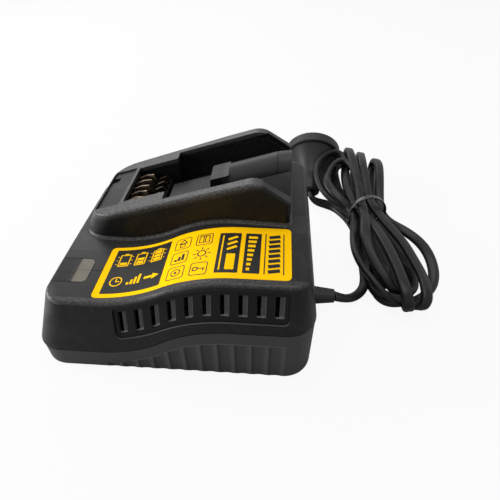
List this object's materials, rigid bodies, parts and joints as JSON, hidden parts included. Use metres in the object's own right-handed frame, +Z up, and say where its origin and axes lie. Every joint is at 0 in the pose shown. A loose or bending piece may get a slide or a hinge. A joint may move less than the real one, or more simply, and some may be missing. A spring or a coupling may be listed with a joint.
{
  "type": "power tool battery charger",
  "caption": "Desktop charger for slide-in power tool batteries, with a sloping dock, a label deck, side vents and a bundled mains cord with plug.",
  "frame": {"origin": "middle of the underside of the charger's box, at the surface that it stands on; the cord and plug aren't counted", "axes": "+X from the nose with the indicator lens to the open end of the dock, +Y from the vented front wall to the rear wall, +Z up"},
  "size_m": [0.223, 0.2124, 0.0805],
  "materials": {
    "housing": "fine-grained matte",
    "cradle": "smooth satin",
    "label_film": "printed film",
    "lens": "smoky translucent",
    "board_laminate": "lacquered",
    "ferrite": "matte",
    "winding_tape": "taped winding",
    "capacitor_can": "sleeved",
    "film_capacitor": "smooth",
    "copper_wire": "lacquered wire",
    "heatsink_metal": "extruded",
    "chip_resin": "moulded",
    "fuse_body": "glass-like",
    "cord_rubber": "matte flexible",
    "tie_plastic": "smooth",
    "plug_rubber": "matte moulded",
    "pin_metal": "nickel plated",
    "contact_metal": "tarnished plating",
    "led_resin": "clear tinted",
    "screw_steel": "zinc plated"
  },
  "bodies": {
    "root": {"battery_cradle": "cradle", "board_screw_1": "screw_steel", "board_screw_2": "screw_steel", "bulk_capacitor": "capacitor_can", "circuit_board": "board_laminate", "contact_blade_1": "contact_metal", "contact_blade_2": "contact_metal", "contact_blade_3": "contact_metal", "contact_blade_4": "contact_metal", "contact_blade_5": "contact_metal", "controller_chip": "chip_resin", "cord_grip": "cord_rubber", "cord_hank": "cord_rubber", "cord_tie": "tie_plastic", "filter_capacitor": "film_capacitor", "fuse": "fuse_body", "heatsink": "heatsink_metal", "housing_screw_1": "screw_steel", "housing_screw_2": "screw_steel", "housing_screw_3": "screw_steel", "housing_screw_4": "screw_steel", "label": "label_film", "led_lens": "lens", "lower_housing": "housing", "mains_choke": "copper_wire", "opto_coupler": "chip_resin", "output_rectifier": "chip_resin", "plug_body": "plug_rubber", "plug_lead": "cord_rubber", "plug_pin_1": "pin_metal", "plug_pin_2": "pin_metal", "power_cord": "cord_rubber", "power_transistor": "chip_resin", "status_led_1": "led_resin", "status_led_2": "led_resin", "terminal_block": "cradle", "terminal_cover": "cradle", "transformer_core": "ferrite", "transformer_winding": "winding_tape", "upper_housing": "housing"}
  },
  "joints": []
}
